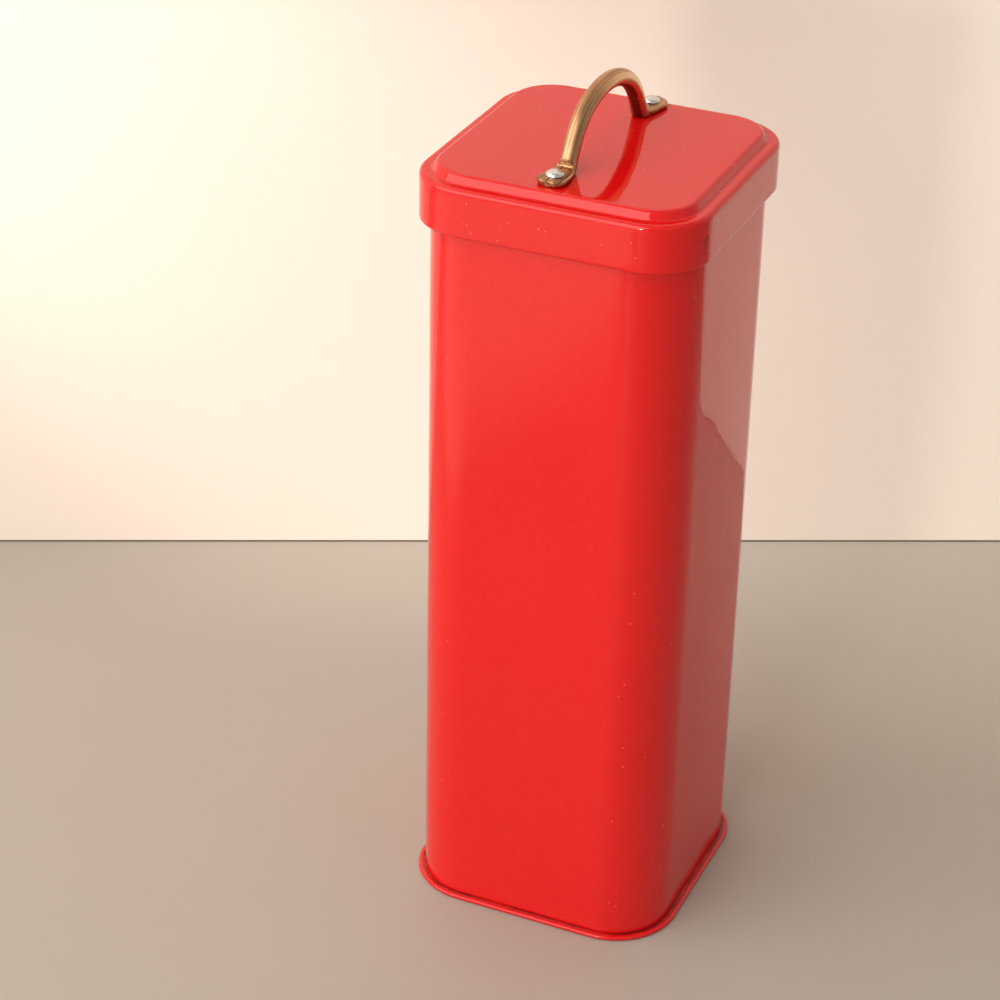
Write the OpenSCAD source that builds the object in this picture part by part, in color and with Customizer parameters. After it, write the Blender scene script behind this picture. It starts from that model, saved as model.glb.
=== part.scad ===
// Tall square food canister in enamelled sheet steel, with a slip-over lid and a riveted bow handle.
// Millimetres. +Z is up, the origin is the middle of the base on the table, and the front wall faces -Y.

/* [Body] */
// Width of the body across its flat walls, the same both ways
body_w = 100; // [85:1:130]
// Height from the table to the top of the rolled rim
body_h = 293.5; // [120:0.5:360]
// Corner radius of the body, outside the sheet
body_r = 22.8; // [16:0.2:28]
// Thickness of the enamelled sheet
sheet = 0.6; // [0.5:0.01:0.72]
// Outer diameter of the rolled rim
rim_d = 1.9; // [1.7:0.1:2.6]
// Radius inside the tight bends of the sheet
bend_r = 0.3; // [0.2:0.05:0.4]
// Width of the folded lock seam that closes the wrapped sheet at the back
lock_w = 5; // [4:0.5:8]
// Width of the fine groove that the lock seam shows outside
lock_groove = 0.5; // [0.3:0.1:0.8]
// Length of wall that the lock seam leaves plain below the rim and above the flange
lock_end = 5; // [3:0.5:10]

/* [Base] */
// How far the folded base seam stands out from the wall
seam_out = 2.9; // [2.6:0.1:4]
// Width of the open groove between the wall and the folded edge
seam_groove = 1.2; // [0.8:0.1:1.4]
// Play around the body's flange inside the folded seam
seam_gap = 0.2; // [0.1:0.05:0.3]
// Width of the flat strip, inside the wall, that rests on the table
rest_strip = 3.5; // [3:0.1:6]
// How far the middle of the base is pressed up from the table
base_step = 1.6; // [1.4:0.1:3]

/* [Lid] */
// Height of the lid from the lower edge of its skirt to its ledge
skirt_h = 17.4; // [12:0.2:30]
// Corner radius of the lid, outside the sheet
lid_r = 21.4; // [18:0.2:26]
// Radius of the rounded shoulder between skirt and ledge
shoulder_r = 1.9; // [1.5:0.1:3]
// Height of the inner ply of the hem folded up inside the skirt
hem_h = 4; // [2:0.5:6]
// Gap between the rolled rim and the hem, all round the flat walls
lid_gap = 0.3; // [0.25:0.05:0.5]
// Gap between the top of the rim and the underside of the ledge
lid_seat_gap = 0.3; // [0.25:0.05:0.5]
// Height of the raised top above the ledge
top_rise = 3; // [2:0.1:5]
// Distance from the skirt's face to where the raised top runs flat
top_inset = 7.2; // [6.6:0.1:10]
// Steepness of the bevel around the raised top, in degrees
bevel_slope = 60; // [50:1:70]
// Radius of the hollow at the foot of the bevel
bevel_foot_r = 0.8; // [0.5:0.1:1]
// Radius of the rounded edge of the raised top
bevel_top_r = 1.8; // [1.2:0.1:2]

/* [Handle] */
// Height of the bow above the raised top
handle_h = 25.6; // [22:0.1:40]
// Diameter of the round bar at the crown
bar_d = 6.4; // [5:0.1:8]
// Diameter of the bar at its thinnest, just above the feet
neck_d = 6.1; // [4.6:0.1:7]
// Radius of the crown, along the middle of the bar
crown_r = 34.6; // [30:0.2:40]
// How far the crown turns down on each side, in degrees
crown_turn = 22; // [18:0.5:27]
// Radius of the tighter bends beside the crown, along the middle of the bar
haunch_r = 24.6; // [21:0.2:27]
// Steepness of the legs, in degrees
leg_slope = 62; // [57:0.5:68]
// Radius of the bend from leg to foot, along the middle of the bar
elbow_r = 4; // [3.2:0.2:5]
// Width of each flattened foot where it leaves the bend
foot_root = 8; // [6.4:0.2:9]
// Greatest width of each foot
foot_w = 10.6; // [9.6:0.2:13]
// Thickness of each foot
foot_t = 2.4; // [1.8:0.1:2.8]
// Distance from the rivet to the end of the foot
foot_reach = 6; // [5.2:0.1:7]
// Distance from the rivet, outwards, to where the foot is widest
foot_belly = 2.6; // [1:0.1:3]
// How far the bow sits round from square on the lid, in degrees
handle_turn = -3.2; // [-6:0.1:6]
// How far the bow sits from the middle of the lid, towards its right foot
handle_slide = 1; // [0:0.1:1.2]
// How far the bow sits from the middle of the lid, towards the back
handle_shift = -0.3; // [-1.5:0.1:1.5]

/* [Rivets] */
// Distance between the two rivets
rivet_pitch = 77.4; // [76:0.2:80]
// Diameter of a rivet's shank
rivet_d = 3.2; // [2.5:0.1:4]
// Diameter of its domed head
head_d = 6.4; // [6:0.1:7]
// Height of its domed head
head_h = 1.8; // [1:0.1:2.2]
// Play of the shank in its holes, across the diameter
rivet_play = 0.1; // [0.05:0.05:0.2]
// Diameter of the backing washer inside the lid
washer_d = 9; // [7:0.5:11]
// Thickness of the backing washer
washer_t = 0.6; // [0.4:0.1:1]
// Diameter of the tail closed over the washer
tail_d = 5.4; // [4.6:0.1:6]
// Height of the tail
tail_h = 1.1; // [0.8:0.1:1.6]

/* [Hidden] */
$fn = 72;
red = [0.84, 0.08, 0.07];
brass = [0.55, 0.40, 0.22];
silver = [0.80, 0.80, 0.80];

// body, measured from the centre of a corner outwards
body_side = body_w - 2 * body_r;
wall_in = body_r - sheet;
rim_x = wall_in + rim_d / 2;
rim_z = body_h - rim_d / 2;
rim_out = rim_d - sheet;

// base seam: base sheet, body flange and folded edge lie on each other
seam_h = 3 * sheet + seam_gap;
fold_x = body_r + seam_out - seam_h / 2;
flange_z = sheet;
flange_bend_z = flange_z + sheet + bend_r;
bend_out = bend_r + sheet;
step_x = body_r - rest_strip;
base_flat = 2 * (step_x - bend_out - bend_r) + body_side;

// lid, measured from the centre of its own corner outwards
bend_lap = 0.02; // how far the straight bevel runs into the bends at its ends, so that they join
lid_w = body_w + 2 * (rim_out + lid_gap + 2 * sheet);
lid_side = lid_w - 2 * lid_r;
ledge_z = body_h + lid_seat_gap + sheet;
skirt_z = ledge_z - skirt_h;
top_z = ledge_z + top_rise;
top_x = lid_r - top_inset;
bevel_run = (top_rise - (bevel_foot_r + bevel_top_r) * (1 - cos(bevel_slope))) / sin(bevel_slope);
ledge_x = top_x + (bevel_foot_r + bevel_top_r) * sin(bevel_slope) + bevel_run * cos(bevel_slope);

// bow handle, in its own plane with the lid's top at height 0
crown_z = handle_h - bar_d / 2 - crown_r;
haunch_x = (crown_r - haunch_r) * sin(crown_turn);
haunch_z = crown_z + (crown_r - haunch_r) * cos(crown_turn);
leg_x = haunch_x + haunch_r * sin(leg_slope);
leg_z = haunch_z + haunch_r * cos(leg_slope);
elbow_z = foot_t / 2 + elbow_r;
leg_drop = leg_z - elbow_z + elbow_r * cos(leg_slope);
elbow_x = leg_x + leg_drop / tan(leg_slope) + elbow_r * sin(leg_slope);
rivet_x = rivet_pitch / 2;
tip_x = rivet_x + foot_reach;
belly_x = rivet_x + foot_belly;
hole_d = rivet_d + rivet_play;
bar_sides = 20;
tip_blunt = 0.1; // how far short of its rounded tip the foot is cut off

// Each ring of the bow is [middle x, middle z, lean of the ring, half width, half height, squareness]
function mix(a, b, t) = a + (b - a) * t;
function arc_ring(c, r, a, lean, w, h, q) = [c.x + r * cos(a), c.y + r * sin(a), lean, w, h, q];
function bar_size(t) = mix(bar_d, neck_d, t) / 2;
function foot_half(x) = x > belly_x
    ? foot_w / 2 * sqrt(1 - pow((x - belly_x) / (tip_x - belly_x), 2))
    : mix(foot_root, foot_w, sin(90 * (x - elbow_x) / (belly_x - elbow_x))) / 2;
crown_rings = [for (t = [0:1 / 6:0.99])
    arc_ring([0, crown_z], crown_r, 90 - crown_turn * t, -crown_turn * t,
             bar_size(t / 2), bar_size(t / 2), 2)];
haunch_rings = [for (t = [0:1 / 6:1.01])
    let (a = mix(90 - crown_turn, 90 - leg_slope, t))
    arc_ring([haunch_x, haunch_z], haunch_r, a, a - 90, bar_size(0.5 + t / 2), bar_size(0.5 + t / 2), 2)];
elbow_rings = [for (t = [0:1 / 6:0.99])
    let (a = mix(270 - leg_slope, 270, t))
    arc_ring([elbow_x, elbow_z], elbow_r, a, a - 270, mix(neck_d, foot_root, t * t) / 2,
             mix(neck_d, foot_t, t * t) / 2, mix(2, 4, t))];
foot_rings = [for (t = [0:1 / 18:1.01])
    let (x = mix(elbow_x, tip_x - tip_blunt, sin(90 * t)))
    [x, foot_t / 2, 0, foot_half(x), foot_t / 2, 4]];
half_bow = concat(crown_rings, haunch_rings, elbow_rings, foot_rings);
bow_rings = concat(
    [for (i = [len(half_bow) - 1:-1:1]) let (k = half_bow[i]) [-k[0], k[1], -k[2], k[3], k[4], k[5]]],
    half_bow);

// Ring sector between two angles, less than a half turn apart
module band(r_out, r_in, from, to) {
    far = 2 * r_out;
    mid = (from + to) / 2;
    intersection() {
        difference() {
            circle(r_out);
            circle(r_in);
        }
        polygon([[0, 0], far * [cos(from), sin(from)], far * [cos(mid), sin(mid)], far * [cos(to), sin(to)]]);
    }
}

// Flat rounded square
module pad(side, r) {
    square([side + 2 * r, side], center = true);
    square([side, side + 2 * r], center = true);
    for (x = [-1, 1], y = [-1, 1]) translate([x, y] * side / 2) circle(r);
}

// Carries a profile round a square with rounded corners. The profile's x is the distance from the
// centre of a corner, and its y is the height.
module around(side) {
    for (turn = [0:90:270]) rotate(turn) {
        translate([side / 2, side / 2]) rotate_extrude(angle = 90) children();
        translate([side / 2, side / 2]) rotate([90, 0, 0]) linear_extrude(side) children();
    }
}

// Wrapped wall with a rolled rim, a flange for the base seam and a lock seam at the back
module body_shell() color(red) {
    lock_z = flange_bend_z + lock_end;
    lock_h = rim_z - rim_d / 2 - lock_end - lock_z;
    back = body_w / 2;
    difference() {
        union() {
            around(body_side) {
                translate([wall_in, flange_bend_z]) square([sheet, rim_z - flange_bend_z]);
                translate([rim_x, rim_z]) band(rim_d / 2, rim_d / 2 - sheet, 0, 90);
                translate([rim_x, rim_z]) band(rim_d / 2, rim_d / 2 - sheet, 90, 180);
                translate([rim_x, rim_z]) band(rim_d / 2, rim_d / 2 - sheet, 270, 360);
                translate([body_r + bend_r, flange_bend_z]) band(bend_out, bend_r, 180, 270);
                translate([body_r + bend_r, flange_z]) square([fold_x - seam_gap - body_r - bend_r, sheet]);
            }
            translate([-lock_w / 2, back - 3 * sheet, lock_z]) cube([lock_w, 2.5 * sheet, lock_h]);
        }
        translate([lock_w / 2 - lock_groove, back - sheet / 2, lock_z]) cube([lock_groove, sheet, lock_h]);
    }
}

// Pressed base: raised middle, flat strip on the table, edge folded over the body's flange
module base_panel() color(red) {
    translate([0, 0, base_step]) linear_extrude(sheet) pad(body_side, (base_flat - body_side) / 2);
    around(body_side) {
        translate([step_x - bend_out - bend_r, base_step - bend_r]) band(bend_out, bend_r, 0, 90);
        translate([step_x - bend_out, sheet + bend_r]) square([sheet, base_step - sheet - 2 * bend_r]);
        translate([step_x, sheet + bend_r]) band(bend_out, bend_r, 180, 270);
        translate([step_x, 0]) square([fold_x - step_x, sheet]);
        translate([fold_x, seam_h / 2]) band(seam_h / 2, seam_h / 2 - sheet, -90, 0);
        translate([fold_x, seam_h / 2]) band(seam_h / 2, seam_h / 2 - sheet, 0, 90);
        translate([body_r + seam_groove, seam_h - sheet]) square([fold_x - body_r - seam_groove, sheet]);
    }
}

// Pressed lid: raised top, bevel, ledge, rounded shoulder and hemmed skirt
module lid_shell() color(red) {
    slope = [sin(bevel_slope), cos(bevel_slope)];
    lap = bend_lap * [slope.y, -slope.x];
    top_c = [top_x, top_z - bevel_top_r];
    foot_c = [ledge_x, ledge_z + bevel_foot_r];
    difference() {
        translate([0, 0, top_z - sheet]) linear_extrude(sheet) pad(lid_side, top_x);
        for (side = [-1, 1]) on_foot(side) cylinder(d = hole_d, h = 4 * sheet, center = true);
    }
    around(lid_side) {
        translate(top_c) band(bevel_top_r, bevel_top_r - sheet, 90 - bevel_slope, 90);
        polygon([top_c + bevel_top_r * slope - lap, top_c + (bevel_top_r - sheet) * slope - lap,
                 foot_c - (bevel_foot_r + sheet) * slope + lap, foot_c - bevel_foot_r * slope + lap]);
        translate(foot_c) band(bevel_foot_r + sheet, bevel_foot_r, 270 - bevel_slope, 270);
        translate([ledge_x, ledge_z - sheet]) square([lid_r - shoulder_r - ledge_x, sheet]);
        translate([lid_r - shoulder_r, ledge_z - shoulder_r]) band(shoulder_r, shoulder_r - sheet, 0, 90);
        translate([lid_r - sheet, skirt_z + sheet]) square([sheet, skirt_h - shoulder_r - sheet]);
        translate([lid_r - 2 * sheet, skirt_z + sheet]) square([sheet, hem_h - sheet]);
        translate([lid_r - sheet, skirt_z + sheet]) band(sheet, 0, 180, 270);
        translate([lid_r - sheet, skirt_z + sheet]) band(sheet, 0, 270, 360);
    }
}

// Places the bow and its rivets, with the lid's top at height 0
module on_lid() {
    translate([handle_slide, handle_shift, top_z]) rotate(handle_turn) children();
}

// Places what belongs to the left (-1) or the right (1) rivet
module on_foot(side) {
    on_lid() translate([side * rivet_x, 0]) children();
}

// One point of a rounded-square section: a circle at squareness 2, boxier above it
function section(a, w, h, q) = [w * sign(cos(a)) * pow(abs(cos(a)), 2 / q),
                                h * sign(sin(a)) * pow(abs(sin(a)), 2 / q)];

// Closed skin through a row of rings, each with bar_sides points
module skin(rings) {
    last = len(rings) - 1;
    polyhedron(
        points = [for (k = rings, j = [0:bar_sides - 1])
            let (p = section(360 * (j + 0.5) / bar_sides, k[3], k[4], k[5]))
            [k[0] - p.y * sin(k[2]), p.x, k[1] + p.y * cos(k[2])]],
        faces = concat(
            [[for (j = [0:bar_sides - 1]) j]],
            [for (i = [0:last - 1], j = [0:bar_sides - 1])
                let (n = (j + 1) % bar_sides, a = i * bar_sides, b = a + bar_sides)
                [a + j, b + j, b + n, a + n]],
            [[for (j = [bar_sides - 1:-1:0]) last * bar_sides + j]]));
}

// Cast bow: round bar that flattens into a foot at each end
module handle() color(brass) on_lid() difference() {
    skin(bow_rings);
    for (side = [-1, 1]) translate([side * rivet_x, 0]) cylinder(d = hole_d, h = 3 * foot_t, center = true);
    translate([-rivet_pitch, -foot_w, -handle_h]) cube([2 * rivet_pitch, 2 * foot_w, handle_h]);
}

// Solid rivet: domed head on the foot, shank through foot, lid and washer, closed tail below
module rivet() color(silver) {
    dome_r = (head_d * head_d / 4 + head_h * head_h) / (2 * head_h);
    shank = foot_t + sheet + washer_t;
    translate([0, 0, foot_t]) intersection() {
        translate([0, 0, head_h - dome_r]) sphere(dome_r);
        cylinder(d = head_d + 1, h = head_h + 1);
    }
    translate([0, 0, foot_t - shank]) cylinder(d = rivet_d, h = shank);
    translate([0, 0, foot_t - shank - tail_h]) cylinder(d = tail_d, h = tail_h);
}

// Flat washer that spreads the tail's pull over the thin lid
module washer() color(silver) translate([0, 0, -sheet - washer_t]) difference() {
    cylinder(d = washer_d, h = washer_t);
    translate([0, 0, -1]) cylinder(d = hole_d, h = washer_t + 2);
}

body_shell();
base_panel();
lid_shell();
handle();
on_foot(-1) rivet();  // rivet_left
on_foot(1) rivet();  // rivet_right
on_foot(-1) washer();  // washer_left
on_foot(1) washer();  // washer_right
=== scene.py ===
from math import cos, pi, radians, sin

import bmesh
import bpy
from mathutils import Matrix, Vector, noise


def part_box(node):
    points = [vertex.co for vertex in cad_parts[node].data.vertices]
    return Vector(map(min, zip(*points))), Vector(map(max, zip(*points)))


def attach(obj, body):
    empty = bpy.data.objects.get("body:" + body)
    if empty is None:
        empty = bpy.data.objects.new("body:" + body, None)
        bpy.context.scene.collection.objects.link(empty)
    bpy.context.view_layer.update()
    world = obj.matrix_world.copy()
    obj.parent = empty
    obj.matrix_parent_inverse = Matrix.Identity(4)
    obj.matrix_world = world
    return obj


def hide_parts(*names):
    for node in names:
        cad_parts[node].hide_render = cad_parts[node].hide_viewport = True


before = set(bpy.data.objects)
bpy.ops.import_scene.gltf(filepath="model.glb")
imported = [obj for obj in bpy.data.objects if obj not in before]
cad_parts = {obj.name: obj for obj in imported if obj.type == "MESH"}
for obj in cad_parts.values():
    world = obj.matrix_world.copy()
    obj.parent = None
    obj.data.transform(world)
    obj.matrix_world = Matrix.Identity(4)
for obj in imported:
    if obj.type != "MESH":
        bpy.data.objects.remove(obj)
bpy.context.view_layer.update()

MM = 0.001
scene = bpy.context.scene

# ---------------------------------------------------------------- camera
# A long lens, above the canister and to the left of its front wall, rolled a little.
eye = Vector((-838.24, -325.86, 662.74)) * MM
looking = Vector((0.79985, 0.34479, -0.49129))
upwards = Vector((0.4424, 0.2147, 0.8708))

camera = bpy.data.objects.new("camera", bpy.data.cameras.new("camera"))
camera.data.sensor_width = 36
camera.data.lens = 100.6
right = looking.cross(upwards).normalized()
turned = Matrix((right, right.cross(looking).normalized(), -looking.normalized())).transposed()
camera.matrix_world = Matrix.Translation(eye) @ turned.to_4x4()
scene.collection.objects.link(camera)
scene.camera = camera

# ---------------------------------------------------------------- table top and backdrop
# A plain matt table top that meets a plain pale wall close behind the canister. Neither is
# part of the object, but its gloss mirrors both.
wall_distance = 0.238
wall_turn = radians(-64.2)
stage_size = 3.0
gap_height = 0.9 * MM
gap_stand_off = 0.5 * MM


def blank(name):
    """A new material and its shader."""
    material = bpy.data.materials.new(name)
    material.use_nodes = True
    return material, material.node_tree.nodes["Principled BSDF"]


def feed(material, node, inputs):
    """Fills a node's inputs: each is a number, a colour, or the output that it is linked to."""
    for key, value in inputs.items():
        socket = node.inputs[key]
        if isinstance(value, bpy.types.NodeSocket):
            material.node_tree.links.new(value, socket)
        elif socket.type == "RGBA":
            socket.default_value = (*value, 1)
        else:
            socket.default_value = value


def add(material, kind, inputs, **settings):
    """Adds a node, with its settings and its inputs."""
    node = material.node_tree.nodes.new(kind)
    for key, value in settings.items():
        setattr(node, key, value)
    feed(material, node, inputs)
    return node


def grain(material, place, scale, detail, roughness=0.5, stretch=None):
    """Noise at a place, drawn out along an axis where its stretch is under 1."""
    if stretch:
        place = add(material, "ShaderNodeMapping", {"Vector": place, "Scale": stretch}).outputs["Vector"]
    inputs = {"Vector": place, "Scale": scale, "Detail": detail, "Roughness": roughness}
    return add(material, "ShaderNodeTexNoise", inputs).outputs["Fac"]


def mixed(material, factor, a, b, kind="RGBA"):
    """Goes from a to b as the factor goes from 0 to 1."""
    inputs = {"Factor": factor, "A": a, "B": b}
    return add(material, "ShaderNodeMix", inputs, data_type=kind).outputs["Result"]


def plain(name, colour, spread, roughness, one_sided=False):
    """Matt paint whose tone drifts a little over the surface. One-sided paint is clear from behind."""
    material, shader = blank(name)
    place = add(material, "ShaderNodeTexCoord", {}).outputs["Object"]
    dark = [c * (1 - spread) for c in colour]
    pale = [min(1, c * (1 + spread)) for c in colour]
    tone = mixed(material, grain(material, place, 6, 4), dark, pale)
    feed(material, shader, {"Base Color": tone, "Roughness": roughness, "Specular IOR Level": 0.3})
    if one_sided:
        behind = add(material, "ShaderNodeNewGeometry", {}).outputs["Backfacing"]
        clear = add(material, "ShaderNodeBsdfTransparent", {}).outputs["BSDF"]
        sides = add(material, "ShaderNodeMixShader", {0: behind, 1: shader.outputs["BSDF"], 2: clear})
        feed(material, material.node_tree.nodes["Material Output"], {"Surface": sides.outputs["Shader"]})
    return material


def stage_sheet(name, material, place):
    """A flat sheet of the stage."""
    bm = bmesh.new()
    bmesh.ops.create_grid(bm, x_segments=2, y_segments=2, size=stage_size / 2)
    bmesh.ops.transform(bm, matrix=place, verts=bm.verts)
    mesh = bpy.data.meshes.new(name)
    bm.to_mesh(mesh)
    bm.free()
    mesh.materials.append(material)
    sheet = bpy.data.objects.new(name, mesh)
    scene.collection.objects.link(sheet)


wall_out = Vector((-sin(wall_turn), cos(wall_turn), 0))
wall_foot = wall_out * wall_distance
lying = Matrix.Rotation(wall_turn, 4, "Z")
standing = lying @ Matrix.Rotation(pi / 2, 4, "X")
table_place = Matrix.Translation(wall_foot - wall_out * stage_size / 2) @ lying
stage_sheet("table_top", plain("table_paint", (0.43, 0.385, 0.335), 0.03, 0.5), table_place)
wall_place = Matrix.Translation(wall_foot + Vector((0, 0, stage_size / 2))) @ standing
stage_sheet("backdrop", plain("wall_paint", (0.90, 0.81, 0.72), 0.02, 0.7, True), wall_place)

# A dark strip of painted shade stands for the shaded narrow gap under the wall. Its lower half is below the
# table top.
gap_squeeze = Matrix.Diagonal((1, gap_height / stage_size * 2, 1, 1))
gap_place = Matrix.Translation(wall_foot - wall_out * gap_stand_off) @ standing @ gap_squeeze
stage_sheet("wall_gap", plain("gap_shade", (0.16, 0.13, 0.10), 0.2, 0.9, True), gap_place)

# ---------------------------------------------------------------- lights
# A wide soft panel high on the left, a small far key low on the left that throws the faint shadow
# on the wall, two soft-edged spots on the wall, a low soft panel over the table left of the view,
# and an even fill.
warm = (1.0, 0.96, 0.9)
fill = bpy.data.worlds.new("fill")
fill.use_nodes = True
fill.node_tree.nodes["Background"].inputs["Color"].default_value = (1.0, 0.96, 0.92, 1)
fill.node_tree.nodes["Background"].inputs["Strength"].default_value = 0.42
scene.world = fill


def light(name, kind, place, target, power, colour, **shape):
    """A light of one kind at a place, turned to its target."""
    lamp = bpy.data.lights.new(name, kind)
    lamp.energy = power
    lamp.color = colour
    for key, value in shape.items():
        setattr(lamp, key, value)
    made = bpy.data.objects.new(name, lamp)
    made.location = place
    made.rotation_euler = (Vector(target) - Vector(place)).to_track_quat("-Z", "Y").to_euler()
    made.visible_camera = False
    scene.collection.objects.link(made)


light("panel", "AREA", (-1.25, 0.82, 1.25), (0, 0, 0.2), 37, warm, shape="RECTANGLE", size=2.4, size_y=1.9)
light("key", "AREA", (-2.56, 0, 0.6), (0, 0, 0.15), 13, warm, size=0.25)
light("wall_streak", "SPOT", (-0.543, 0.704, 0.73), (0.146, 0.245, 0.178), 26, (1.0, 0.97, 0.9),
      spot_size=radians(21), spot_blend=1, shadow_soft_size=0.02)
light("wall_wash", "SPOT", (0.1, -1.2, 0.8), (0.34, -0.19, 0.13), 28, warm,
      spot_size=radians(27), spot_blend=1, shadow_soft_size=0.05)
light("table_pool", "AREA", (-0.66, 0.46, 0.10), (-0.66, 0.46, 0), 2.4, warm,
      shape="ELLIPSE", size=1.0, size_y=0.62, spread=radians(80))
scene.view_settings.view_transform = "Standard"

# ---------------------------------------------------------------- wrapped wall
# One sheet of 0.6 mm enamelled steel, wrapped round a square with rounded corners. Its top edge
# is rolled outwards, its foot is turned out into the base seam, and it closes at the back in a
# folded lock seam.
sheet = 0.6 * MM
corner_steps = 28
side_steps = 16
wall_low, wall_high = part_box("body_shell")
body_corner = 27.2 * MM
rim_bend = 0.65 * MM
foot_bend = 0.6 * MM
foot_run = 1.4 * MM
rim_end = Vector((23.15 * MM, wall_high.z - 1.6 * MM))
wall_run = rim_end.y + rim_bend - (wall_low.z + sheet / 2 + foot_bend)
bulge_reach = 42 * MM
bulge_low, bulge_high = 6 * MM, 280 * MM
front_bulge, side_bulge = 0.7 * MM, 0.4 * MM
# Height of the painted shade at the wall's foot, which is partly a patchy dark stain.
shade_and_stain_height = 2.7 * MM
chip_reach = 3.6 * MM


def fold(bm, start, moves):
    """Draws a sheet's section as it is folded, outwards from its start. A move is a straight length and
    its number of pieces, or the degrees of a bend, left if over 0, its radius and its number of pieces."""
    at = Vector((start[0], 0, start[1]))
    tip = bm.verts.new(at)
    heading = 0
    for move in moves:
        if len(move) == 2:
            length, pieces = move
            step = Vector((cos(heading), 0, sin(heading))) * (length / pieces)
            made = bmesh.ops.spin(bm, geom=[tip], cent=at, axis=(0, 1, 0), angle=0, dvec=step,
                                  steps=pieces)
        else:
            degrees, radius, pieces = move
            side = 1 if degrees > 0 else -1
            centre = tip.co + Vector((-sin(heading), 0, cos(heading))) * radius * side
            made = bmesh.ops.spin(bm, geom=[tip], cent=centre, axis=(0, -1, 0), angle=radians(degrees),
                                  steps=pieces)
            heading += radians(degrees)
        tip = [v for v in made["geom_last"] if isinstance(v, bmesh.types.BMVert)][0]


def carry_round(bm, corner):
    """Carries the section in bm round a square with rounded corners, whose centres are at +-corner."""
    bmesh.ops.translate(bm, verts=bm.verts, vec=(corner, corner, 0))
    made = bmesh.ops.spin(bm, geom=bm.verts[:] + bm.edges[:], cent=(corner, corner, 0), axis=(0, 0, 1),
                          angle=pi / 2, steps=corner_steps)
    bmesh.ops.spin(bm, geom=made["geom_last"], cent=(0, 0, 0), axis=(0, 0, 1), angle=0,
                   dvec=(-2 * corner / side_steps, 0, 0), steps=side_steps)
    quarter = bm.verts[:] + bm.edges[:] + bm.faces[:]
    for turns in (1, 2, 3):
        copied = bmesh.ops.duplicate(bm, geom=quarter)["geom"]
        bmesh.ops.rotate(bm, verts=[v for v in copied if isinstance(v, bmesh.types.BMVert)],
                         cent=(0, 0, 0), matrix=Matrix.Rotation(turns * pi / 2, 3, "Z"))
    bmesh.ops.remove_doubles(bm, verts=bm.verts, dist=0.01 * MM)


def bulge(bm, rise, side):
    """Bulges one side of the wrapped sheet, most at its middle and not at all at its corners and ends."""
    outward = Vector((cos(side), sin(side), 0))
    across = Vector((-sin(side), cos(side), 0))
    for v in bm.verts:
        if v.co.dot(outward) > body_corner:
            part = max(0, 1 - (v.co.dot(across) / bulge_reach) ** 2) ** 2
            height = max(0, 1 - (2 * (v.co.z - bulge_low) / (bulge_high - bulge_low) - 1) ** 4)
            v.co += outward * rise * part * height


def unsettle(bm, height, span, seed):
    """Moves each point a little back along its normal, by 0 to twice the height, as a sheet is never
    quite flat. The waves are about span long."""
    bmesh.ops.recalc_face_normals(bm, faces=bm.faces)
    bm.normal_update()
    offset = Vector((seed, seed, seed))
    shifts = [(v, v.normal * (noise.noise(v.co / span + offset) - 1) * height) for v in bm.verts]
    for v, shift in shifts:
        v.co += shift


def finished(bm, name, material, body, node, thickness=None):
    """Makes the object, gives a sheet its thickness, and puts the piece on its body in the node's stead."""
    for f in bm.faces:
        f.smooth = True
    for e in bm.edges:
        e.smooth = not e.is_boundary
    mesh = bpy.data.meshes.new(name)
    bm.to_mesh(mesh)
    bm.free()
    mesh.materials.append(material)
    piece = bpy.data.objects.new(name, mesh)
    scene.collection.objects.link(piece)
    if thickness:
        wall = piece.modifiers.new("thickness", "SOLIDIFY")
        wall.thickness = thickness
        wall.offset = 0
        wall.use_even_offset = True
    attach(piece, body)
    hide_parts(node)
    return piece


def scaled(material, value, low, high, new_low, new_high, curve="SMOOTHSTEP"):
    """Takes low to new_low and high to new_high, along a curve or evenly, and stops at both ends."""
    inputs = {"Value": value, "From Min": low, "From Max": high, "To Min": new_low, "To Max": new_high}
    return add(material, "ShaderNodeMapRange", inputs, interpolation_type=curve).outputs["Result"]


def maths(material, operation, a, b=0):
    """One operation on a and b, or on a alone."""
    return add(material, "ShaderNodeMath", {0: a, 1: b}, operation=operation).outputs["Value"]


def bump(material, height, depth, under=None):
    """Bumps of that depth, on top of the bumps under them."""
    inputs = {"Height": height, "Distance": depth}
    if under is not None:
        inputs["Normal"] = under
    return add(material, "ShaderNodeBump", inputs).outputs["Normal"]


def cells(material, place, scale, channel):
    """Scattered cells: the distance from the nearest cell's middle, and a number drawn for each cell."""
    found = add(material, "ShaderNodeTexVoronoi", {"Vector": place, "Scale": scale})
    drawn = add(material, "ShaderNodeSeparateColor", {"Color": found.outputs["Color"]})
    return found.outputs["Distance"], drawn.outputs[channel]


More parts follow.
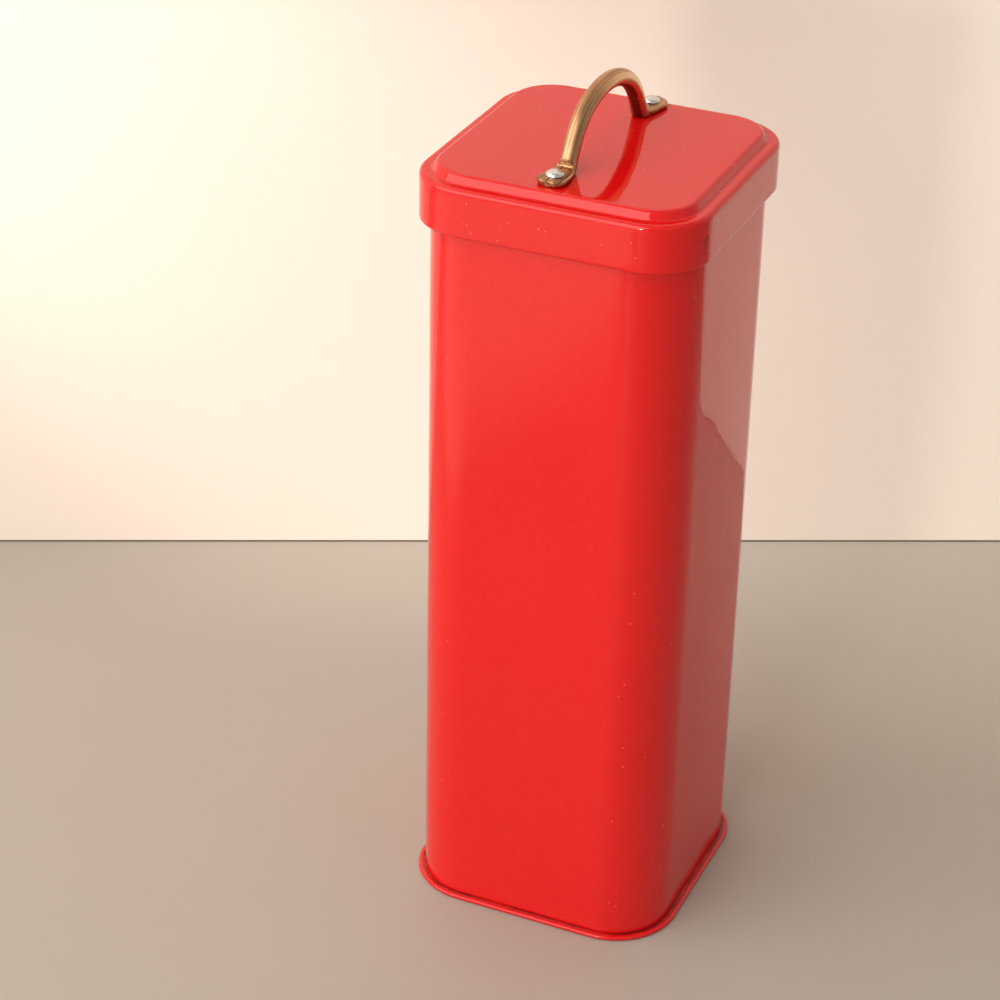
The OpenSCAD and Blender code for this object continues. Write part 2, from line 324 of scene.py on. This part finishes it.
def enamel(name, line_depth=0.0, chipped=None, shaded_and_stained=0.0):
    """Glossy red enamel: cloudy tone, orange peel and waves, nibs of dust under the gloss. A drawn piece
    has fine upright lines, a knocked one has dark chips round the place that is chipped, and a seamed one
    is darkened up to a height by painted shade in the groove at its foot, partly a patchy dark stain."""
    material, shader = blank(name)
    place = add(material, "ShaderNodeTexCoord", {}).outputs["Object"]

    away, lot = cells(material, place, 230, "Red")
    chosen = maths(material, "GREATER_THAN", lot, 0.66)
    nib = maths(material, "MULTIPLY", scaled(material, away, 0.03, 0.11, 1, 0), chosen)

    cloudy = mixed(material, grain(material, place, 14, 3), (0.66, 0.004, 0.005), (0.73, 0.006, 0.006))
    fine = scaled(material, grain(material, place, 650, 2), 0.45, 0.75, 0, 0.25)
    mottled = mixed(material, fine, cloudy, (0.78, 0.018, 0.015))
    tone = mixed(material, scaled(material, nib, 0.2, 0.8, 0, 0.65), mottled, (0.90, 0.22, 0.17))
    smears = scaled(material, grain(material, place, 38, 5, 0.65), 0.42, 0.75, 0.03, 0.09)
    dull = maths(material, "ADD", smears, maths(material, "MULTIPLY", nib, 0.15))
    if chipped:
        away, lot = cells(material, place, 620, "Green")
        reach = add(material, "ShaderNodeVectorMath", {0: place, 1: chipped}, operation="DISTANCE")
        knocked = maths(material, "LESS_THAN", reach.outputs["Value"], chip_reach)
        lost = maths(material, "MULTIPLY", maths(material, "GREATER_THAN", lot, 0.62), knocked)
        chip = maths(material, "MULTIPLY", scaled(material, away, 0.25, 0.45, 1, 0), lost)
        tone = mixed(material, chip, tone, (0.16, 0.008, 0.008))
    # Painted shade in the groove at the wall's foot, partly a patchy dark stain: the enamel darkens up to a
    # height.
    if shaded_and_stained:
        upright = add(material, "ShaderNodeSeparateXYZ", {"Vector": place}).outputs["Z"]
        low = scaled(material, upright, 0.65 * shaded_and_stained, shaded_and_stained, 1, 0)
        patchy = scaled(material, grain(material, place, 60, 4, 0.6), 0.38, 0.6, 0.30, 0.90)
        shade_and_stain = maths(material, "MULTIPLY", low, patchy)
        tone = mixed(material, shade_and_stain, tone, (0.20, 0.006, 0.006))
        dull = maths(material, "ADD", dull, maths(material, "MULTIPLY", shade_and_stain, 0.12))

    waves = bump(material, grain(material, place, 150, 1), 0.035 * MM)
    peel = bump(material, grain(material, place, 330, 2), 0.007 * MM, waves)
    surface = bump(material, nib, 0.05 * MM, peel)
    if line_depth:
        lines = grain(material, place, 420, 3, 0.6, (1, 1, 0.03))
        surface = bump(material, lines, line_depth, surface)
    feed(material, shader, {"Base Color": tone, "Roughness": dull, "IOR": 1.5, "Normal": surface})
    return material


bm = bmesh.new()
fold(bm, rim_end, [(270, rim_bend, 14), (wall_run, 60), (90, foot_bend, 5), (foot_run, 2)])
carry_round(bm, body_corner)
bulge(bm, front_bulge, -pi / 2)
bulge(bm, side_bulge, 0)
unsettle(bm, 0.12 * MM, 45 * MM, 3)

# The lock seam up the middle of the back: a fine groove outside, and its folded edges inside.
seam_low, seam_high = 6.5 * MM, 286.6 * MM
seam_steps = 40
groove_left, groove_right = 1.6 * MM, 2.8 * MM
groove_side, groove_depth = 0.1 * MM, 0.3 * MM
groove_fade = 2 * MM
fold_reach, fold_round = 2.2 * MM, 0.1 * MM
fold_root, fold_face = 49.7 * MM, 48.5 * MM
back = body_corner + 22 * MM
for line in (groove_left, groove_left + groove_side, groove_right - groove_side, groove_right):
    strip = [f for f in bm.faces if f.calc_center_median().y > back
             and seam_low < f.calc_center_median().z < seam_high]
    edges = {e for f in strip for e in f.edges}
    corners = {v for f in strip for v in f.verts}
    bmesh.ops.bisect_plane(bm, geom=[*strip, *edges, *corners], plane_co=(line, 0, 0),
                           plane_no=(1, 0, 0), dist=0.001 * MM)
for v in bm.verts:
    if (v.co.y > back and groove_left + groove_side / 2 < v.co.x < groove_right - groove_side / 2
            and seam_low + groove_fade < v.co.z < seam_high - groove_fade):
        v.co.y -= groove_depth
folds = [(-fold_reach, fold_root), (-fold_reach, fold_face + fold_round),
         (-fold_reach + fold_round, fold_face), (fold_reach - fold_round, fold_face),
         (fold_reach, fold_face + fold_round), (fold_reach, fold_root)]
tips = [bm.verts.new((x, y, seam_low)) for x, y in folds]
ridge = [bm.edges.new((a, b)) for a, b in zip(tips, tips[1:])]
bmesh.ops.spin(bm, geom=tips + ridge, cent=(0, 0, 0), axis=(0, 0, 1), angle=0,
               dvec=(0, 0, (seam_high - seam_low) / seam_steps), steps=seam_steps)
finished(bm, "wrapped_wall", enamel("wall_enamel", shaded_and_stained=shade_and_stain_height), "canister",
         "body_shell", sheet)

# ---------------------------------------------------------------- pressed base
# A shallow pan of the same sheet. Its edge is folded up and over the wall's turned-out foot, which
# leaves the rounded bead and the open groove round the foot of the canister.
base_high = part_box("base_panel")[1]
pan_start, pan_flat = 10 * MM, 8.1 * MM
pan_bend, pan_rise = 0.6 * MM, 0.4 * MM
bead_flat, bead_bend, bead_hook = 5.4 * MM, 0.7 * MM, 0.7 * MM


def close_middle(bm, reach, rings):
    """Closes the flat middle of a pressing, inside reach, with smaller and smaller rings."""
    loop = [e for e in bm.edges
            if e.is_boundary and max(abs(part) for v in e.verts for part in v.co.xy) < reach]
    for k in range(rings, 0, -1):
        made = bmesh.ops.extrude_edge_only(bm, edges=loop)["geom"]
        loop = [e for e in made if isinstance(e, bmesh.types.BMEdge) and e.is_boundary]
        ring = {v for e in loop for v in e.verts}
        shrunk = (k - 0.6) / (k + 0.4)
        bmesh.ops.scale(bm, verts=list(ring), vec=(shrunk, shrunk, 1))
    bmesh.ops.contextual_create(bm, geom=loop)


bm = bmesh.new()
fold(bm, (pan_start, base_high.z - sheet / 2),
     [(pan_flat, 2), (-90, pan_bend, 4), (pan_rise, 1), (90, pan_bend, 4), (bead_flat, 3),
      (180, bead_bend, 10), (bead_hook, 1)])
carry_round(bm, body_corner)
close_middle(bm, body_corner + pan_start + MM, 5)
unsettle(bm, 0.08 * MM, 12 * MM, 8)
finished(bm, "pressed_base", enamel("base_enamel"), "canister", "base_panel", sheet)

# ---------------------------------------------------------------- lid
# A slip-over lid drawn from one blank: a flat raised top, a soft bevel, a narrow ledge, a rounded
# shoulder, and a skirt whose lower edge is hemmed inwards.
lid_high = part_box("lid_shell")[1]
lid_corner = 31.4 * MM
top_start, top_flat = 8 * MM, 6.2 * MM
bevel_bend, bevel_run = 1.5 * MM, 1.963 * MM
ledge_bend, ledge_run = 1.1 * MM, 2.067 * MM
shoulder_bend, skirt_run = 1.6 * MM, 14.9 * MM
hem_bend, hem_run = 0.31 * MM, 3.4 * MM
knocked_corner = (-0.0378, -0.0518, 0.2850)

bm = bmesh.new()
fold(bm, (top_start, lid_high.z - sheet / 2),
     [(top_flat, 4), (-60, bevel_bend, 8), (bevel_run, 2), (60, ledge_bend, 6), (ledge_run, 3),
      (-90, shoulder_bend, 10), (skirt_run, 10), (-180, hem_bend, 8), (hem_run, 2)])
carry_round(bm, lid_corner)
close_middle(bm, lid_corner + top_start + MM, 6)
unsettle(bm, 0.06 * MM, 30 * MM, 5)
finished(bm, "lid_pressing", enamel("lid_enamel", 0.009 * MM, knocked_corner), "lid",
         "lid_shell", sheet)

# ---------------------------------------------------------------- bow handle
# A cast brass bow, darkened and then rubbed bright. The round bar thins a little down its legs,
# carries three ridges at each neck, and ends in a flattened, hammered leaf.
bow_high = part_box("handle")[1]
lid_top = lid_high.z
bow_turn = radians(-3.2)
bow_slide, bow_shift = 1.0 * MM, -0.3 * MM
bar, neck = 6.4 * MM, 6.1 * MM
crown_r, crown_turn = 34.6 * MM, radians(22)
haunch_r, leg_slope = 24.6 * MM, radians(62)
elbow_r = 4 * MM
leaf_root, leaf_width, leaf_thick = 8 * MM, 10.6 * MM, 2.4 * MM
leaf_edge = 0.8 * MM
rivet_reach = 38.7 * MM
leaf_belly = rivet_reach + 2.6 * MM
leaf_tip = rivet_reach + 6 * MM
ridge_step = 1.2 * MM
ridge_height = 0.5 * MM
round_section, leaf_section = 2, 3.5
hammered = 0.14 * MM

crown_length = crown_r * crown_turn
haunch_length = haunch_r * (leg_slope - crown_turn)
elbow_length = elbow_r * leg_slope
bow_rise = bow_high.z - lid_top - bar / 2
curve_drop = (crown_r * (1 - cos(crown_turn)) + haunch_r * (cos(crown_turn) - cos(leg_slope))
              + elbow_r * (1 - cos(leg_slope)))
leg_length = (bow_rise - leaf_thick / 2 - curve_drop) / sin(leg_slope)
bow_moves = [(crown_length, crown_turn), (haunch_length, leg_slope - crown_turn), (leg_length, 0),
             (elbow_length, -leg_slope), (1, 0)]
elbow_start = crown_length + haunch_length + leg_length
leaf_start = elbow_start + elbow_length


def along_bow(s):
    """Place and slope of the bar's middle line, s along it from the middle of the crown."""
    at = Vector((0, bow_rise))
    slope = 0.0
    for length, turn in bow_moves:
        part = min(s, length)
        if turn:
            bent = turn * part / length
            arc = Vector((sin(slope + bent) - sin(slope), cos(slope + bent) - cos(slope)))
            at += arc * (length / turn)
            slope += bent
        else:
            at += Vector((cos(slope), -sin(slope))) * part
        s -= part
        if s <= 0:
            return at, slope


leaf_start_x = along_bow(leaf_start)[0].x
leaf_end = leaf_start + leaf_tip - leaf_start_x
leaf_widest = leaf_start + leaf_belly - leaf_start_x


def bar_section(s):
    """Width, thickness and squareness of the bar at s."""
    if s < elbow_start:
        size = bar + (neck - bar) * s / elbow_start
        return size, size, round_section
    if s < leaf_start:
        t = (s - elbow_start) / elbow_length
        return (neck + (leaf_root - neck) * t * t, neck + (leaf_thick - neck) * t * t,
                round_section + (leaf_section - round_section) * t)
    if s < leaf_widest:
        spread = sin(pi / 2 * (s - leaf_start) / (leaf_widest - leaf_start))
        return leaf_root + (leaf_width - leaf_root) * spread, leaf_thick, leaf_section
    u = min(1, (s - leaf_widest) / (leaf_end - leaf_widest))
    return max(leaf_edge, leaf_width * (1 - u * u) ** 0.5), leaf_thick * (1 - 0.15 * u * u), leaf_section


def ridges(s):
    """Height of the ridges across the neck at s."""
    tops = [elbow_start + (k + 0.2) * ridge_step for k in range(3)]
    return ridge_height * sum(max(0, 1 - abs(s - top) / (0.45 * ridge_step)) for top in tops)


def squared(value, squareness):
    """Moves one coordinate of a point on a unit circle out towards a square's. At 2 it stays."""
    return abs(value) ** (2 / squareness) * (1 if value > 0 else -1)


plain_step = 1.1 * MM
stops = [k * plain_step for k in range(int(elbow_start / plain_step))]
stops += [elbow_start - ridge_step / 4 + k * ridge_step / 4 for k in range(16)]
ridged_end = stops[-1]
stops += [ridged_end + (leaf_end - ridged_end) * sin(pi / 2 * k / 16) for k in range(1, 17)]

bm = bmesh.new()
bmesh.ops.create_circle(bm, segments=20, radius=1, matrix=Matrix.Rotation(pi / 2, 4, "Y"))
ring = bm.edges[:]
for here, there in zip(stops, stops[1:]):
    made = bmesh.ops.extrude_edge_only(bm, edges=ring)["geom"]
    ends = {v for v in made if isinstance(v, bmesh.types.BMVert)}
    bmesh.ops.translate(bm, verts=list(ends), vec=(there - here, 0, 0))
    ring = [e for e in made if isinstance(e, bmesh.types.BMEdge) and ends.issuperset(e.verts)]
bmesh.ops.contextual_create(bm, geom=ring)
for v in bm.verts:
    width, thick, squareness = bar_section(v.co.x)
    raised = ridges(v.co.x) * max(0, v.co.z)
    v.co.y = squared(v.co.y, squareness) * (width / 2 + raised / 2)
    v.co.z = squared(v.co.z, squareness) * thick / 2 + raised
bmesh.ops.mirror(bm, geom=bm.verts[:] + bm.edges[:] + bm.faces[:], axis="X", merge_dist=0.01 * MM)
bmesh.ops.recalc_face_normals(bm, faces=bm.faces)
straight = bm.verts.layers.float_vector.new("straight")
for v in bm.verts:
    v[straight] = v.co
    s = abs(v.co.x)
    beaten = hammered * min(1, max(0, (s - leaf_start) / (3 * MM)))
    v.co.z += noise.noise(v.co / (1.7 * MM)) * beaten
    v.co.y += noise.noise(v.co / (2.1 * MM) + Vector((7, 7, 7))) * beaten * 1.5
    at, slope = along_bow(s)
    place = at + Vector((sin(slope), cos(slope))) * v.co.z
    v.co = ((1 if v.co.x > 0 else -1) * place.x, v.co.y, lid_top + max(0, place.y))
bow_place = Matrix.Translation((bow_slide, bow_shift, 0)) @ Matrix.Rotation(bow_turn, 4, "Z")
bmesh.ops.transform(bm, matrix=bow_place, verts=bm.verts)


def aged_brass(name):
    """Cast brass: dark in its hollows and on its leaves, and in lengthwise streaks, and rubbed to a soft
    gold where hands reach. Painted shade darkens its underside."""
    material, shader = blank(name)
    along = add(material, "ShaderNodeAttribute", {}, attribute_name="straight").outputs["Vector"]
    parts = add(material, "ShaderNodeSeparateXYZ", {"Vector": along}).outputs
    streaks = grain(material, along, 900, 4, stretch=(0.02, 1, 1))
    clouds = grain(material, along, 110, 3, stretch=(0.5, 1, 1))
    pits = grain(material, along, 1500, 2)

    worn = add(material, "ShaderNodeNewGeometry", {}).outputs["Pointiness"]
    rubbing = scaled(material, worn, 0.47, 0.56, -0.12, 0.16, "LINEAR")
    rubbed = maths(material, "ADD", mixed(material, 0.3, streaks, clouds, "FLOAT"), rubbing)
    # Painted shade: the bar and its leaves are darker on their underside.
    underside_shade = scaled(material, parts["Z"], -3 * MM, -1 * MM, -0.2, 0, "LINEAR")
    outward = maths(material, "ABSOLUTE", parts["X"])
    leaf = scaled(material, outward, elbow_start, leaf_start, 0, -0.11, "LINEAR")
    tarnish_wear_and_shade = maths(material, "ADD", maths(material, "ADD", rubbed, underside_shade), leaf)

    tarnish = add(material, "ShaderNodeValToRGB", {"Fac": tarnish_wear_and_shade})
    shades = tarnish.color_ramp.elements
    shades[0].position = 0.30
    shades[0].color = (0.17, 0.070, 0.034, 1)
    shades[1].position = 0.68
    shades[1].color = (0.84, 0.56, 0.33, 1)
    shades.new(0.47).color = (0.56, 0.31, 0.155, 1)

    shine = scaled(material, rubbed, 0.35, 0.65, 0.44, 0.24, "LINEAR")
    surface = bump(material, pits, 0.012 * MM, bump(material, streaks, 0.03 * MM))
    feed(material, shader, {"Base Color": tarnish.outputs["Color"], "Metallic": 1, "Roughness": shine,
                            "Normal": surface})
    return material


bow = finished(bm, "bow_handle", aged_brass("aged_brass"), "lid", "handle")
rounding = bow.modifiers.new("rounding", "SUBSURF")
rounding.levels = rounding.render_levels = 2

# ---------------------------------------------------------------- rivets
# Two solid aluminium rivets hold the bow. Each has a hand-set dome on the leaf, a shank through
# leaf, lid and washer, and a tail closed over the washer inside.
washer_t = 0.6 * MM
dome_r, dome_h, dome_wall = 3.2 * MM, 1.8 * MM, 0.25 * MM
dome_foot = 0.02 * MM
shank_r = 1.6 * MM
tail_r, tail_h, tail_edge = 2.7 * MM, 1.1 * MM, 0.2 * MM
tail_top = -sheet - washer_t
dent_height, dent_span, dent_seed = 0.16 * MM, 1.6 * MM, 3


def bright_metal(name, colour, low, high, scale, depth):
    """Bare metal: cloudy tone, uneven shine, and dents of one size."""
    material, shader = blank(name)
    place = add(material, "ShaderNodeTexCoord", {}).outputs["Object"]
    dents = grain(material, place, scale, 3)
    feed(material, shader, {"Base Color": mixed(material, dents, [c * 0.7 for c in colour], colour),
                            "Metallic": 1,
                            "Roughness": scaled(material, dents, 0, 1, high, low, "LINEAR"),
                            "Normal": bump(material, dents, depth)})
    return material


def section_line(bm, points):
    """Joins points of a turned section, each (distance from the axis, height)."""
    line = [bm.verts.new((x, 0, z)) for x, z in points]
    for a, b in zip(line, line[1:]):
        bm.edges.new((a, b))


def turn_up(bm, steps):
    """Turns the section in bm right round the upright axis and closes its poles."""
    bmesh.ops.spin(bm, geom=bm.verts[:] + bm.edges[:], cent=(0, 0, 0), axis=(0, 0, 1), angle=2 * pi,
                   steps=steps, use_merge=True)
    bmesh.ops.remove_doubles(bm, verts=bm.verts, dist=0.005 * MM)
    bmesh.ops.recalc_face_normals(bm, faces=bm.faces)


rivet_metal = bright_metal("rivet_alloy", (0.92, 0.91, 0.89), 0.12, 0.30, 620, 0.30 * MM)
noise.seed_set(dent_seed)  # without it, the clock would draw the dents, and each run would differ
for side, foot in ((-1, "left"), (1, "right")):
    bm = bmesh.new()
    quarter = [pi / 2 * k / 8 for k in range(9)]
    dome = [(dome_r * sin(a), leaf_thick + dome_wall + (dome_h - dome_wall) * cos(a)) for a in quarter]
    shank = [(dome_r, leaf_thick + dome_foot), (shank_r, leaf_thick), (shank_r, tail_top)]
    tail = [(tail_r - tail_edge, tail_top), (tail_r, tail_top - tail_edge),
            (tail_r * 0.93, tail_top - 0.75 * tail_h), (tail_r * 0.6, tail_top - tail_h),
            (0, tail_top - tail_h)]
    section_line(bm, dome + shank + tail)
    turn_up(bm, 36)
    for v in bm.verts:
        if v.co.z > leaf_thick:
            v.co += noise.noise_vector(v.co / dent_span + Vector((side, 5, 2))) * dent_height
    rivet_place = bow_place @ Matrix.Translation((side * rivet_reach, 0, lid_top))
    bmesh.ops.transform(bm, matrix=rivet_place, verts=bm.verts)
    finished(bm, "rivet_on_" + foot + "_leaf", rivet_metal, "lid", "rivet_" + foot)

# ---------------------------------------------------------------- backing washers
# A punched washer of zinc-coated steel under each tail, which spreads the pull over the thin lid.
washer_r, punch_r = 4.5 * MM, 1.65 * MM
washer_edge = 0.12 * MM
washer_metal = bright_metal("washer_zinc", (0.66, 0.66, 0.64), 0.25, 0.45, 900, 0.02 * MM)
for side, foot in ((-1, "left"), (1, "right")):
    bm = bmesh.new()
    section_line(bm, [(punch_r, 0), (washer_r - washer_edge, 0), (washer_r, -washer_edge),
                      (washer_r, washer_edge - washer_t), (washer_r - washer_edge, -washer_t),
                      (punch_r + washer_edge, -washer_t), (punch_r, washer_edge - washer_t),
                      (punch_r, 0)])
    turn_up(bm, 48)
    washer_place = bow_place @ Matrix.Translation((side * rivet_reach, 0, lid_top - sheet))
    bmesh.ops.transform(bm, matrix=washer_place, verts=bm.verts)
    finished(bm, "washer_under_" + foot + "_leaf", washer_metal, "lid", "washer_" + foot)
